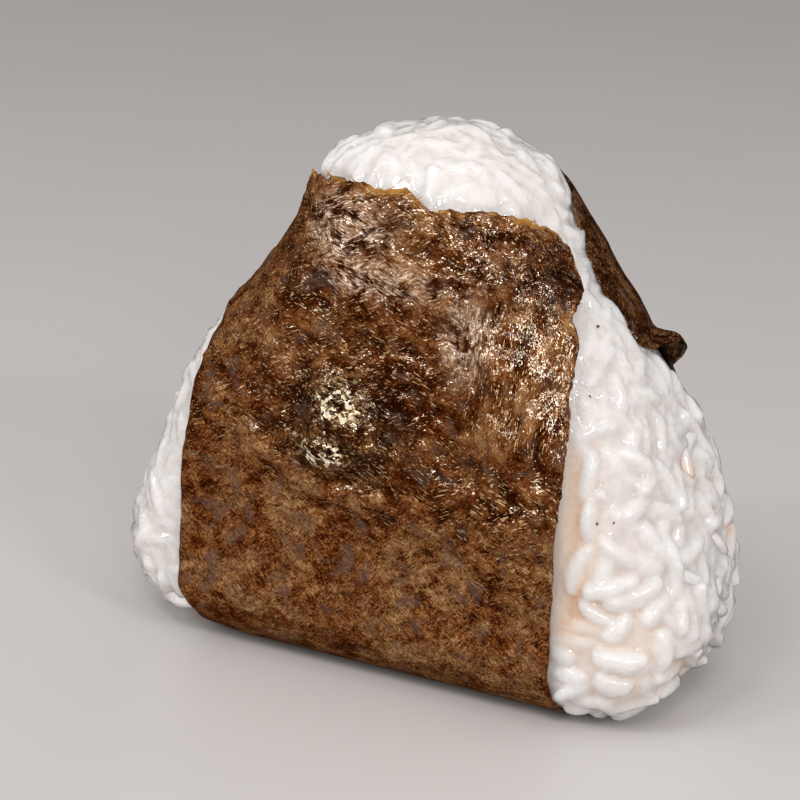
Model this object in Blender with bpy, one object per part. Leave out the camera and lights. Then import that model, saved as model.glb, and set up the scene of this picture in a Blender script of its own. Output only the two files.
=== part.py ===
"""Onigiri: a triangular rice ball that stands on its base, wrapped in one strip of dried seaweed.

The strip starts high on the front face, passes under the base and climbs the back face. It is as wide
as the middle of the base, so near the apex it is wider than the ball and folds round the sloping sides.
Metres, +Z up, the front face looks along -Y, and the origin lies under the middle of the whole part.
"""

import bpy
import numpy as np
from mathutils import Vector, noise

MM = 0.001

# The plain ball, before its grains stand out from it. From the front it is three round corners joined by
# slightly crowned sides.
BASE_WIDTH = 80.8 * MM
HEIGHT = 67.4 * MM
BASE_LEFT_RADIUS = 13.0 * MM
BASE_RIGHT_RADIUS = 12.2 * MM
APEX_RADIUS = 17.6 * MM
APEX_SHIFT = 0.2 * MM
LEFT_SIDE_CROWN = 2.1 * MM
RIGHT_SIDE_CROWN = 2.8 * MM

# The ball, seen from the side: two nearly flat faces that round over into the sides and the base.
BASE_DEPTH = 34.2 * MM
APEX_DEPTH = 29.9 * MM
SIDE_ROUND = (10.8 * MM, 14.2 * MM)  # how far the rounding reaches into the face, and into the side
BASE_ROUND = (7.4 * MM, 8.3 * MM)

# Where the hands that shaped the ball left it fuller (+) or hollow (-): place, spread and rise.
HAND_MARKS = (
    ("left shoulder", (-19 * MM, -9 * MM, 52 * MM), 8 * MM, -1.3 * MM),
    ("left hip", (-31 * MM, -9 * MM, 33 * MM), 8 * MM, 0.8 * MM),
    ("right hip", (35 * MM, 9 * MM, 29 * MM), 8 * MM, 1.0 * MM),
    ("right waist", (28 * MM, 9 * MM, 41 * MM), 5 * MM, -0.7 * MM),
    ("right foot", (40 * MM, 7 * MM, 11 * MM), 9 * MM, -1.4 * MM),
    ("left foot", (-32 * MM, -10 * MM, 1 * MM), 7 * MM, -1.2 * MM),
    ("left of the top", (-11 * MM, -6 * MM, 63 * MM), 6 * MM, 1.3 * MM),
)

# The uneven surface of the bare rice.
LUMP_SIZE = 14 * MM
LUMP_RELIEF = 0.7 * MM
GRAIN_SIZE = 6 * MM
GRAIN_RELIEF = 1.0 * MM
RELIEF_START = (0.05, 0.3)  # the relief grows over this stretch of the rounding; the flat faces have none

# The seaweed strip, laid out flat in the plane of the face that it covers.
STRIP_LEFT = -27.5 * MM
STRIP_RIGHT = 25.8 * MM
UNDER_DRAW = (8 * MM, 2 * MM, 1.5 * MM)  # between these heights the left edge draws in by the third value
TOP_DRAW = (20 * MM, 46 * MM, 2.2 * MM)
FRONT_TOP_LEFT = 63.2 * MM
FRONT_TOP_RIGHT = 60.8 * MM
FRONT_STEP = (1.5 * MM, 6.5 * MM)  # over this width the torn front edge drops to its right level
BACK_TOP = 65.0 * MM
CORNER_RADIUS = 5.5 * MM
TEAR_DEPTH = 0.5 * MM
TEAR_LENGTH = 5.0 * MM
NOTCH_HEIGHT = 50.3 * MM
NOTCH_DEPTH = 1.0 * MM
NOTCH_SPREAD = 2.0 * MM
WAIST = (35.3 * MM, 44.3 * MM, 0.7 * MM)  # between these heights the right edge draws in
BACK_DRAW = 0.3 * MM  # how much narrower the back panel's top is than the front panel
BACK_FLAP = (  # going down, the back panel widens between these heights by the third value
    (63.0 * MM, 58.0 * MM, 4.2 * MM),
    (57.0 * MM, 45.0 * MM, 3.6 * MM),
    (45.0 * MM, 34.0 * MM, -7.5 * MM),
)
FLAP_TIP = (30.5 * MM, 46.8 * MM)  # there the flap stands off the rice
FLAP_LIFT = 2.2 * MM
FLAP_LIFT_SPREAD = 4.0 * MM

# How the strip lies on the rice.
STRIP_THICKNESS = 0.5 * MM
STRIP_GAP = 0.3 * MM
COVERED_SINK = 0.3 * MM  # the strip presses the grains under it a little flat
WRINKLE_SIZE = 9 * MM
WRINKLE_RISE = 0.5 * MM
TIGHT_BELOW = (2 * MM, 9 * MM)  # the ball's weight holds the strip tight below these heights
EDGE_LIFT = 0.7 * MM
EDGE_LIFT_WIDTH = 5 * MM
BULGE = (-4 * MM, 33 * MM)
BULGE_RADIUS = 4.5 * MM
BULGE_RISE = 1.3 * MM
CREASE = ((-17 * MM, 30 * MM), (2 * MM, 24.5 * MM))
CREASE_SAG = 3.0 * MM
CREASE_WIDTH = 1.8 * MM
CREASE_RISE = 0.8 * MM
PANEL_LIMIT = (0.86, 1.12)  # front and back panels end within this share of the way to the middle plane
EASED_SHARE = 0.2  # and are drawn in over this share of it
BARE_MARGIN = (1.8 * MM, 4.5 * MM)  # over this distance from the strip the rice swells to its full shape

STANDS = (-0.55, 0.98)  # the rounding changes from the side's to the base's as its normal turns down
STANDING = -0.9  # an outline normal that points down further than this belongs to the base

# Each seed picks its own stretch of the noise.
LUMP_SEED = 2.1
GRAIN_SEED = 5.9
WRINKLE_SEED = 11.3
END_SEED = 4.7
SIDE_SEED = 8.2

# How finely each solid is divided.
OUTLINE_SAMPLES = 2880
OUTLINE_STEPS = 96
FACE_RINGS = 5
ROUND_RINGS = 9
STRIP_COLUMNS = 20
FRONT_ROWS = 29
BACK_ROWS = 30


def smooth_step(low, high, value):
    share = np.clip((value - low) / (high - low), 0, 1)
    return share * share * (3 - 2 * share)


def rows_dot(first, second):
    return (first * second).sum(axis=1)


def soft_noise(points, size, seed):
    """Smooth noise from about -1 to 1 whose bumps are as wide as `size`."""
    offset = Vector((seed, 2 * seed, 3 * seed))
    return np.array([noise.noise(Vector(point) / size + offset) for point in points])


def corner_circles():
    """Centres and radii of the circles whose common outline is the ball seen from the front."""
    left = np.array([-BASE_WIDTH / 2 + BASE_LEFT_RADIUS, BASE_LEFT_RADIUS])
    right = np.array([BASE_WIDTH / 2 - BASE_RIGHT_RADIUS, BASE_RIGHT_RADIUS])
    apex = np.array([APEX_SHIFT, HEIGHT - APEX_RADIUS])
    centres = [left, right, apex]
    radii = [BASE_LEFT_RADIUS, BASE_RIGHT_RADIUS, APEX_RADIUS]
    for low, low_radius, crown, side in (
        (left, BASE_LEFT_RADIUS, LEFT_SIDE_CROWN, -1),
        (right, BASE_RIGHT_RADIUS, RIGHT_SIDE_CROWN, 1),
    ):
        along = (apex - low) / np.linalg.norm(apex - low)
        outward = side * np.array([along[1], -along[0]])
        centres.append((low + apex) / 2 + crown * outward)
        radii.append((low_radius + APEX_RADIUS) / 2)
    return np.array(centres), np.array(radii)


def ball_outline(count):
    """Evenly spaced points anticlockwise round the outline from the middle of the base, and their normals."""
    centres, radii = corner_circles()
    angles = np.linspace(-0.5 * np.pi, 1.5 * np.pi, 4 * OUTLINE_SAMPLES + 1)
    facing = np.column_stack([np.cos(angles), np.sin(angles)])
    nearest = (facing @ centres.T + radii).argmax(axis=1)
    hull = centres[nearest] + facing * radii[nearest][:, None]
    hull[0] = hull[-1] = (0, 0)
    walked = np.concatenate([[0], np.cumsum(np.linalg.norm(np.diff(hull, axis=0), axis=1))])
    stops = np.linspace(0, walked[-1], count, endpoint=False)
    points = np.column_stack([np.interp(stops, walked, hull[:, axis]) for axis in (0, 1)])
    ahead = np.roll(points, -1, axis=0) - np.roll(points, 1, axis=0)
    normals = np.column_stack([ahead[:, 1], -ahead[:, 0]])
    return points, normals / np.linalg.norm(normals, axis=1)[:, None]


def half_depth(height):
    return (BASE_DEPTH + (APEX_DEPTH - BASE_DEPTH) * height / HEIGHT) / 2


def rounding(normals):
    """The two radii of the edge rounding at each outline point: smaller where the ball stands."""
    standing = smooth_step(*STANDS, -normals[:, 1])
    return [side + (base - side) * standing for side, base in zip(SIDE_ROUND, BASE_ROUND)]


def quarter_length(radii):
    """The length of the rounding, which is a quarter of an ellipse."""
    return np.pi / 2 * np.sqrt((radii[0] ** 2 + radii[1] ** 2) / 2)


def middle_reach(start, radii):
    """How far the surface runs from the face's flat part to the plane midway between the two faces."""
    return quarter_length(radii) + half_depth(start[:, 1]) - radii[1]


def fold(start, normals, radii, reached):
    """Front surface points, and normals, `reached` beyond the edge of the face's flat part."""
    inward, deep = radii
    quarter = quarter_length(radii)
    angle = np.clip(reached / quarter, 0, 1) * np.pi / 2
    flat = start + normals * (inward * np.sin(angle))[:, None]
    past = np.maximum(reached - quarter, 0)
    depth = half_depth(start[:, 1]) - deep * (1 - np.cos(angle)) - past
    points = np.column_stack([flat[:, 0], -depth, flat[:, 1]])
    outward = normals * (deep * np.sin(angle))[:, None]
    facing = np.column_stack([outward[:, 0], -inward * np.cos(angle), outward[:, 1]])
    return points, facing / np.linalg.norm(facing, axis=1)[:, None]


def flat_edge(count):
    """The edge of the face's flat part: its points, the outline normals there and the rounding's radii."""
    points, normals = ball_outline(count)
    radii = rounding(normals)
    return points - normals * radii[0][:, None], normals, radii


def wrap(spots, edge, back):
    """Lay spots of the flat plan on the plain ball: the points there, and the way they face."""
    start, normals, radii = edge
    tangents = np.column_stack([-normals[:, 1], normals[:, 0]])
    nearest = np.array([((start - spot) ** 2).sum(axis=1).argmin() for spot in spots])
    slip = rows_dot(spots - start[nearest], tangents[nearest])
    beside = (nearest + np.where(slip > 0, 1, -1)) % len(start)
    slip_beside = rows_dot(spots - start[beside], tangents[beside])
    share = np.clip(slip / (slip - slip_beside + 1e-12), 0, 1)

    def between(values):
        weight = share.reshape((-1,) + (1,) * (values.ndim - 1))
        return values[nearest] + (values[beside] - values[nearest]) * weight

    here, facing = between(start), between(normals)
    facing = facing / np.linalg.norm(facing, axis=1)[:, None]
    here_radii = [between(radius) for radius in radii]
    beyond = rows_dot(spots - here, facing)
    most = middle_reach(here, here_radii)
    spare = EASED_SHARE * most
    free = PANEL_LIMIT[back] * most - spare
    eased = free + spare * (1 - np.exp(-np.maximum(beyond - free, 0) / spare))
    standing = facing[:, 1] < STANDING
    reached = np.where(standing, np.minimum(beyond, most), np.where(beyond > free, eased, beyond))
    points, outward = fold(here, facing, here_radii, np.maximum(reached, 0))
    inside = beyond < 0
    points[inside] = np.column_stack([spots[:, 0], -half_depth(spots[:, 1]), spots[:, 1]])[inside]
    outward[inside] = (0, -1, 0)
    side = np.array([1, -1 if back else 1, 1])
    return points * side, outward * side


def hand_shaped(points, normals):
    """Move points of the plain ball out or in where the hands left their marks."""
    rise = np.zeros(len(points))
    for _, place, spread, height in HAND_MARKS:
        away = np.linalg.norm(points - np.array(place), axis=1)
        rise += height * np.exp(-((away / spread) ** 2))
    return points + normals * rise[:, None]


def strip_left(height):
    """The strip's left edge, which draws in where it turns under the base and near its top."""
    drawn_in = (gain * smooth_step(start, end, height) for start, end, gain in (UNDER_DRAW, TOP_DRAW))
    return STRIP_LEFT + sum(drawn_in)


def strip_right(height, back):
    """The strip's right edge: torn notch in front, a wide flap behind."""
    if back:
        flap = (gain * smooth_step(high, low, height) for high, low, gain in BACK_FLAP)
        return STRIP_RIGHT - BACK_DRAW + sum(flap)
    notch = NOTCH_DEPTH * np.exp(-(((height - NOTCH_HEIGHT) / NOTCH_SPREAD) ** 2))
    return STRIP_RIGHT - WAIST[2] * smooth_step(*WAIST[:2], height) - notch


def strip_top(share, back):
    """The torn end at a share of the width: level behind, a step lower on the right in front."""
    across = STRIP_LEFT + (STRIP_RIGHT - STRIP_LEFT) * share
    if back:
        level = np.full(len(across), BACK_TOP)
    else:
        level = FRONT_TOP_LEFT + (FRONT_TOP_RIGHT - FRONT_TOP_LEFT) * smooth_step(*FRONT_STEP, across)
    into_corner = np.maximum(across - (STRIP_RIGHT - CORNER_RADIUS), 0)
    drop = CORNER_RADIUS - np.sqrt(np.maximum(CORNER_RADIUS**2 - into_corner**2, 0))
    torn = soft_noise([(value, 0, 0) for value in across], TEAR_LENGTH, END_SEED + back)
    return level - drop + TEAR_DEPTH * torn


def outside_panel(spots, back):
    """How far spots of the flat plan lie outside one panel of the strip; negative inside it."""
    across, height = spots[:, 0], spots[:, 1]
    left, right = strip_left(height), strip_right(height, back)
    top = strip_top(np.clip((across - left) / (right - left), 0, 1), back)
    return np.maximum(np.maximum(across - right, left - across), height - top)


def outside_strip(start, normals, most, share, back):
    """The same for both panels at once, at a share of the way from one face to the middle plane."""
    outside = []
    for panel, reached in ((back, share), (not back, 2 - share)):
        past = (reached - PANEL_LIMIT[panel] + EASED_SHARE) / EASED_SHARE
        drawn_in = -np.log(max(1 - past, 1e-6)) if past > 0 else past
        unrolled = PANEL_LIMIT[panel] + EASED_SHARE * (drawn_in - 1)
        sides = outside_panel(start + normals * (most * unrolled)[:, None], panel)
        base = outside_panel(start + normals * (most * reached)[:, None], panel)
        outside.append(np.where(normals[:, 1] < STANDING, base, sides))
    return np.minimum(*outside)


def strip_rise(spots, points, back):
    """How far the strip stands off the rice: wrinkles, a bulge, a crease and the lifted right edge."""
    standing = smooth_step(*TIGHT_BELOW, points[:, 2])
    wrinkles = WRINKLE_RISE * (0.5 + 0.5 * soft_noise(points, WRINKLE_SIZE, WRINKLE_SEED))
    if back:
        from_tip = np.linalg.norm(spots - np.array(FLAP_TIP), axis=1) / FLAP_LIFT_SPREAD
        return standing * (wrinkles + FLAP_LIFT * np.exp(-(from_tip**2)))
    to_edge = strip_right(spots[:, 1], back) - spots[:, 0]
    lift = smooth_step(EDGE_LIFT_WIDTH, 0, to_edge)
    from_bulge = np.linalg.norm(spots - np.array(BULGE), axis=1) / BULGE_RADIUS
    bulge = BULGE_RISE * np.exp(-(from_bulge**4))
    start, end = np.array(CREASE)
    along = np.clip((spots - start) @ (end - start) / ((end - start) @ (end - start)), 0, 1)
    sag = CREASE_SAG * np.sin(np.pi * along)
    line = start + (end - start) * along[:, None] - np.column_stack([0 * sag, sag])
    crease = CREASE_RISE * np.exp(-((np.linalg.norm(spots - line, axis=1) / CREASE_WIDTH) ** 2))
    return standing * (wrinkles + bulge + crease + EDGE_LIFT * lift)


def material(name, colour, roughness):
    made = bpy.data.materials.new(name)
    made.use_nodes = True
    shader = made.node_tree.nodes["Principled BSDF"]
    shader.inputs["Base Color"].default_value = (*colour, 1)
    shader.inputs["Metallic"].default_value = 0
    shader.inputs["Roughness"].default_value = roughness
    return made


def add_object(name, points, faces, finish):
    mesh = bpy.data.meshes.new(name)
    mesh.from_pydata([tuple(point) for point in points], [], faces)
    mesh.materials.append(finish)
    mesh.validate()
    mesh.shade_smooth()
    made = bpy.data.objects.new(name, mesh)
    bpy.context.collection.objects.link(made)
    return made


def rice_ball(finish):
    """The whole ball out to its uneven surface, slightly sunk where the strip covers it."""
    start, normals, radii = flat_edge(OUTLINE_STEPS)
    centre = start.mean(axis=0)
    most = middle_reach(start, radii)

    def half(back):
        """Rings from near the middle of one face to the plane between the faces."""
        side = np.array([1, -1 if back else 1, 1])
        for ring in range(1, FACE_RINGS):
            spots = centre + (start - centre) * np.sin(np.pi / 2 * ring / FACE_RINGS)
            points = np.column_stack([spots[:, 0], -half_depth(spots[:, 1]), spots[:, 1]])
            outward = np.tile((0.0, -1.0, 0.0), (len(spots), 1))
            yield points * side, outward * side, outside_panel(spots, back), np.zeros(len(spots))
        for ring in range(ROUND_RINGS + 1):
            share = ring / ROUND_RINGS
            points, outward = fold(start, normals, radii, most * share)
            bare = outside_strip(start, normals, most, share, back)
            yield points * side, outward * side, bare, np.full(len(points), share)

    rings = list(half(False)) + list(half(True))[-2::-1]
    points, outward, bare, share = (np.concatenate(values) for values in zip(*rings))
    shown = smooth_step(*BARE_MARGIN, bare)
    lumps = LUMP_RELIEF * soft_noise(points, LUMP_SIZE, LUMP_SEED)
    grains = GRAIN_RELIEF * soft_noise(points, GRAIN_SIZE, GRAIN_SEED)
    bare_rise = STRIP_GAP + STRIP_THICKNESS + (lumps + grains) * smooth_step(*RELIEF_START, share)
    swell = shown * bare_rise - (1 - shown) * COVERED_SINK
    points = hand_shaped(points, outward) + outward * swell[:, None]
    points[:, 2] = np.maximum(points[:, 2], np.where(shown > 0, -STRIP_GAP - STRIP_THICKNESS, 0))

    poles = [(centre[0], side * half_depth(centre[1]), centre[1]) for side in (-1, 1)]
    points = np.concatenate([points, poles])
    count, last = OUTLINE_STEPS, len(rings) - 1
    faces = []
    for step in range(count):
        following = (step + 1) % count
        faces.append((len(points) - 2, step, following))
        faces.append((len(points) - 1, last * count + following, last * count + step))
        for ring in range(last):
            near, far = ring * count, (ring + 1) * count
            faces.append((near + step, far + step, far + following, near + following))
    return add_object("rice_ball", points, faces, finish)


def nori_wrap(finish):
    """One sheet from the front face, under the base and up the back face."""
    edge = flat_edge(OUTLINE_SAMPLES)
    lowest = BASE_ROUND[0] - middle_reach(np.zeros((1, 2)), [np.array([radius]) for radius in BASE_ROUND])[0]
    across = np.linspace(0, 1, STRIP_COLUMNS + 1)

    def panel(rows, back):
        """Rows from the plane between the faces up to the torn end."""
        points = []
        top = strip_top(across, back)
        for row in range(rows + 1):
            height = lowest + (top - lowest) * row / rows
            left, right = strip_left(height), strip_right(height, back)
            torn = TEAR_DEPTH * soft_noise([(0, value, 0) for value in height], TEAR_LENGTH, SIDE_SEED + back)
            spots = np.column_stack([left + (right - left) * across + torn * abs(2 * across - 1), height])
            laid, outward = wrap(spots, edge, back)
            risen = STRIP_GAP + strip_rise(spots, laid, back)
            points.append(hand_shaped(laid, outward) + outward * risen[:, None])
        return points

    rows = panel(FRONT_ROWS, False)[::-1] + panel(BACK_ROWS, True)[1:]
    faces = []
    width = STRIP_COLUMNS + 1
    for row in range(len(rows) - 1):
        for column in range(STRIP_COLUMNS):
            corner = row * width + column
            faces.append((corner, corner + width, corner + width + 1, corner + 1))
    made = add_object("nori_wrap", np.concatenate(rows), faces, finish)
    thicken = made.modifiers.new("thickness", "SOLIDIFY")
    thicken.thickness = STRIP_THICKNESS
    thicken.offset = 1
    return made


def stand_on_origin(objects):
    """Shift every mesh so that the origin lies under the middle of the whole part, on the floor."""
    bpy.context.view_layer.update()
    graph = bpy.context.evaluated_depsgraph_get()
    points = np.array([
        tuple(vertex.co) for made in objects for vertex in made.evaluated_get(graph).to_mesh().vertices
    ])
    low, high = points.min(axis=0), points.max(axis=0)
    shift = -Vector(((low[0] + high[0]) / 2, (low[1] + high[1]) / 2, low[2]))
    for made in objects:
        for vertex in made.data.vertices:
            vertex.co += shift


for leftover in list(bpy.data.objects):
    bpy.data.objects.remove(leftover)
rice = rice_ball(material("steamed rice", (0.80, 0.74, 0.70), 0.45))
nori = nori_wrap(material("dried seaweed", (0.17, 0.075, 0.032), 0.40))
stand_on_origin([rice, nori])
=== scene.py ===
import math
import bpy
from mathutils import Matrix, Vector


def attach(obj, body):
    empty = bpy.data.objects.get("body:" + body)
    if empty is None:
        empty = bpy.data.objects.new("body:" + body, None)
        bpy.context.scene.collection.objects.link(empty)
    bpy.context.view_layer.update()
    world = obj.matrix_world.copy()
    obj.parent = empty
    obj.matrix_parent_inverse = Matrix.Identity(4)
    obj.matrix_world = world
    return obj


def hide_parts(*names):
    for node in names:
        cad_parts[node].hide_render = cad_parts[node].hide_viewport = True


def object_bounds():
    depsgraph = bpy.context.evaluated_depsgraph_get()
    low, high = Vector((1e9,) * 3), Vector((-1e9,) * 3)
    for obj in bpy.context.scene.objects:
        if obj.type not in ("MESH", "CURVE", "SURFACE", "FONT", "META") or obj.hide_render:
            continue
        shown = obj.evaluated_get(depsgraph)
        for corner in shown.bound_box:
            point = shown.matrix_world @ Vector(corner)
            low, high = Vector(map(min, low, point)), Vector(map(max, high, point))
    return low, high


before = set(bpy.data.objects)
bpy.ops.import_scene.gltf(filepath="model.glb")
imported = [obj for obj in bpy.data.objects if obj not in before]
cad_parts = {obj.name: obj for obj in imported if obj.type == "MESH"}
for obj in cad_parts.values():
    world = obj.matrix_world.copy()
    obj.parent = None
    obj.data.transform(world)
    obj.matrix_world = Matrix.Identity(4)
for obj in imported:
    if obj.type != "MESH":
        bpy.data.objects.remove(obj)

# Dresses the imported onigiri: rice grains pressed into a rounded triangle, and one crumpled strip of dried
# seaweed that runs from high on the front face, under the base, to high on the back face.
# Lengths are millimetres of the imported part, and points are in the plain ball's own coordinates until
# they are placed in the part: x to the right, y to the back, z up from the plain ball's lowest point.

from types import SimpleNamespace

import bmesh
import bpy
import numpy as np
from mathutils import Quaternion, Vector, noise
from mathutils.bvhtree import BVHTree

cad_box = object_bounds()

PART_WIDTH = 82.224
MM = (cad_box[1].x - cad_box[0].x) / PART_WIDTH
BALL_PLACE = np.array([0.03, 0.26, 0.80])  # where the plain ball's own origin lies in the part

# ---------------------------------------------------------------------------------------------------
# The plain ball, as the solids have it.
BASE_WIDTH = 80.8
HEIGHT = 67.4
BASE_LEFT_RADIUS = 13.0
BASE_RIGHT_RADIUS = 12.2
APEX_RADIUS = 17.6
APEX_SHIFT = 0.2
LEFT_SIDE_CROWN = 2.1
RIGHT_SIDE_CROWN = 2.8
BASE_DEPTH = 34.2
APEX_DEPTH = 29.9
SIDE_ROUND = (10.8, 14.2)
BASE_ROUND = (7.4, 8.3)
HAND_MARKS = (
    ("left shoulder", (-19, -9, 52), 8, -1.3),
    ("left hip", (-31, -9, 33), 8, 0.8),
    ("right hip", (35, 9, 29), 8, 1.0),
    ("right waist", (28, 9, 41), 5, -0.7),
    ("right foot", (40, 7, 11), 9, -1.4),
    ("left foot", (-32, -10, 1), 7, -1.2),
    ("left of the top", (-11, -6, 63), 6, 1.3),
)
LUMP_SIZE = 14
LUMP_RELIEF = 0.7
STANDS = (-0.55, 0.98)  # the base rounding takes over between these; 1 faces straight down
STANDING = -0.9  # an outline that faces further down than this is the base
LUMP_SEED = 2.1

# The strip in the flat plan of the face that it covers.
STRIP_LEFT = -27.5
STRIP_RIGHT = 25.8
UNDER_DRAW = (8, 2, 1.5)  # it draws in between these heights by this much
TOP_DRAW = (20, 46, 2.2)
FRONT_TOP_LEFT = 62.9
FRONT_TOP_RIGHT = 61.2
FRONT_STEP = (1.5, 6.5)
BACK_TOP = 63.4
CORNER_RADIUS = 5.5
NOTCH_HEIGHT = 50.3
NOTCH_DEPTH = 1.5
NOTCH_SPREAD = 2.1
WAIST = (35.3, 44.3, 0.7)  # the same for the right edge in front
BACK_DRAW = 0.3
BACK_FLAP = ((62, 57, 6.8), (57, 50, 2.2), (50, 45, -2.4), (45, 37, -3.6))
FLAP_LIFT = 3.1
FLAP_ZONE = ((27, 31.5), (41, 44), (47.5, 45.5))  # it lifts this far across, and between these heights
PANEL_LIMIT = (0.86, 1.12)
EASED_SHARE = 0.2
TEARS = ((5.0, 0.35), (1.7, 0.3), (0.8, 0.42))  # the size and depth of the torn ends' teeth
SIDE_TEARS = ((5.0, 0.4), (1.3, 0.12))
END_SEED = 4.7
SIDE_SEED = 8.2

# How the strip lies on the rice.
STRIP_INSIDE = 0.45  # from the plain ball to the underside of the strip
STRIP_THICKNESS = 0.3
TIGHT_BELOW = (2, 9)  # its relief fades in between these heights
EDGE_LIFT = 0.5
EDGE_LIFT_WIDTH = 4
BULGE = (-4, 33)
BULGE_RADIUS = 5.0
BULGE_RISE = 2.1
CREASE = ((-17, 30), (2, 24.5))
CREASE_SAG = 3.0
CREASE_WIDTH = 1.4
CREASE_RISE = 0.9
FOLDS = ((9, 0.8, 11.3), (4.2, 1.3, 3.7))  # size, rise and seed
CRUMPLES = ((2.4, 0.42, 6.1), (1.1, 0.20, 9.4))
FLOW = 2.2  # how much longer the creases are round the ball than up it
STREAKS = (1.5, 7.0, 0.8)  # width, length and rise of the upright creases on the right fold
STREAK_SEED = 14.2
STREAK_ZONE = ((7, 18), (30, 36), (50, 55))  # they start here across, and lie between these heights
BACK_CRUMPLED = 0.6
BACK_RELIEF = 0.35
BACK_SHADE = 0.75  # painted shade: the strip is painted darker behind
PAINTED_SHEEN_PATCHES = (((-4.6, 57.5), (6, 3.8)), ((0, 52), (8, 2.3)), ((12.5, 46.5), (3, 5)))  # painted sheen: pale patches where the sheet reflects light, glossier there too
SHINES = (((20.5, 42), (5.5, 11)),)  # places that catch the light: glossier, and painted lighter, with painted glints
FOILS = (((-3.3, 36.3), (3.4, 2.7)), ((-5.8, 29.4), (3.8, 2.3)))  # crumpled as small glossy flats, with painted glints on them and painted shade between them
SHADES = (((-3.8, 33), (9, 7)), ((22.5, 55.5), (4, 3.5)))  # painted shade: the dark of the creases round them

FRINGE_WIDTH = (0.9, 0.1)  # this close to its torn end the strip is thin, and painted gold for light shining through it
FRINGE_PATCHES = (3.5, 17.3)  # the size and seed of the stretches where it is
BACK_FRINGE = 0.15
HOLLOW_STEPS = 4  # hollows, painted darker, and crests, painted lighter, are judged against the relief this many points away
HOLLOW_MOST = 0.5

STRIP_MARKS = ("fringe", "gloss", "bloom", "shine", "foil", "shade", "hollow", "upright")
STRIP_COLUMNS = 142
FRONT_ROWS = 168
BACK_ROWS = 128
OUTLINE_SAMPLES = 2880
SLIP_PENALTY = 40  # how much a spot would sooner lie straight out from the outline than near it


def smooth_step(low, high, value):
    share = np.clip((value - low) / (high - low), 0, 1)
    return share * share * (3 - 2 * share)


def rows_dot(first, second):
    return (first * second).sum(axis=1)


def unit_rows(rows):
    return rows / np.linalg.norm(rows, axis=1)[:, None]


def away_from(points, place):
    return np.linalg.norm(points - np.array(place), axis=1)


def along_line(points, start, end):
    """The share of a line's length at which points lie beside it."""
    line = end - start
    return np.clip((points - start) @ line / (line @ line), 0, 1)


def soft_noise(points, size, seed):
    """Smooth noise from about -1 to 1 whose bumps are as wide as `size`."""
    offset = Vector((seed, 2 * seed, 3 * seed))
    return np.array([noise.noise(Vector(point) / size + offset) for point in points])


def corner_circles():
    """Centres and radii of the circles whose common outline is the ball seen from the front."""
    left = np.array([-BASE_WIDTH / 2 + BASE_LEFT_RADIUS, BASE_LEFT_RADIUS])
    right = np.array([BASE_WIDTH / 2 - BASE_RIGHT_RADIUS, BASE_RIGHT_RADIUS])
    apex = np.array([APEX_SHIFT, HEIGHT - APEX_RADIUS])
    centres = [left, right, apex]
    radii = [BASE_LEFT_RADIUS, BASE_RIGHT_RADIUS, APEX_RADIUS]
    for low, low_radius, crown, side in (
        (left, BASE_LEFT_RADIUS, LEFT_SIDE_CROWN, -1),
        (right, BASE_RIGHT_RADIUS, RIGHT_SIDE_CROWN, 1),
    ):
        along = (apex - low) / np.linalg.norm(apex - low)
        outward = side * np.array([along[1], -along[0]])
        centres.append((low + apex) / 2 + crown * outward)
        radii.append((low_radius + APEX_RADIUS) / 2)
    return np.array(centres), np.array(radii)


def ball_outline(count):
    """Evenly spaced points anticlockwise round the outline from the middle of the base, and their normals."""
    centres, radii = corner_circles()
    angles = np.linspace(-0.5 * np.pi, 1.5 * np.pi, 4 * OUTLINE_SAMPLES + 1)
    facing = np.column_stack([np.cos(angles), np.sin(angles)])
    nearest = (facing @ centres.T + radii).argmax(axis=1)
    hull = centres[nearest] + facing * radii[nearest][:, None]
    hull[0] = hull[-1] = (0, 0)
    walked = np.concatenate([[0], np.cumsum(np.linalg.norm(np.diff(hull, axis=0), axis=1))])
    stops = np.linspace(0, walked[-1], count, endpoint=False)
    points = np.column_stack([np.interp(stops, walked, hull[:, axis]) for axis in (0, 1)])
    ahead = np.roll(points, -1, axis=0) - np.roll(points, 1, axis=0)
    normals = np.column_stack([ahead[:, 1], -ahead[:, 0]])
    return points, unit_rows(normals)


def half_depth(height):
    return (BASE_DEPTH + (APEX_DEPTH - BASE_DEPTH) * height / HEIGHT) / 2


def rounding(normals):
    """The two radii of the edge rounding at each outline point: smaller where the ball stands."""
    standing = smooth_step(*STANDS, -normals[:, 1])
    return [side + (base - side) * standing for side, base in zip(SIDE_ROUND, BASE_ROUND)]


def quarter_length(radii):
    """The length of the rounding, which is a quarter of an ellipse."""
    return np.pi / 2 * np.sqrt((radii[0] ** 2 + radii[1] ** 2) / 2)


def middle_reach(start, radii):
    """How far the surface runs from the face's flat part to the plane midway between the two faces."""
    return quarter_length(radii) + half_depth(start[:, 1]) - radii[1]


def fold(start, normals, radii, reached):
    """Front surface points, and normals, `reached` beyond the edge of the face's flat part."""
    inward, deep = radii
    quarter = quarter_length(radii)
    angle = np.clip(reached / quarter, 0, 1) * np.pi / 2
    flat = start + normals * (inward * np.sin(angle))[:, None]
    past = np.maximum(reached - quarter, 0)
    depth = half_depth(start[:, 1]) - deep * (1 - np.cos(angle)) - past
    points = np.column_stack([flat[:, 0], -depth, flat[:, 1]])
    outward = normals * (deep * np.sin(angle))[:, None]
    facing = np.column_stack([outward[:, 0], -inward * np.cos(angle), outward[:, 1]])
    return points, unit_rows(facing)


def flat_edge(count):
    """The edge of the face's flat part: its points, the outline normals there and the rounding's radii."""
    points, normals = ball_outline(count)
    radii = rounding(normals)
    return points - normals * radii[0][:, None], normals, radii


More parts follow.
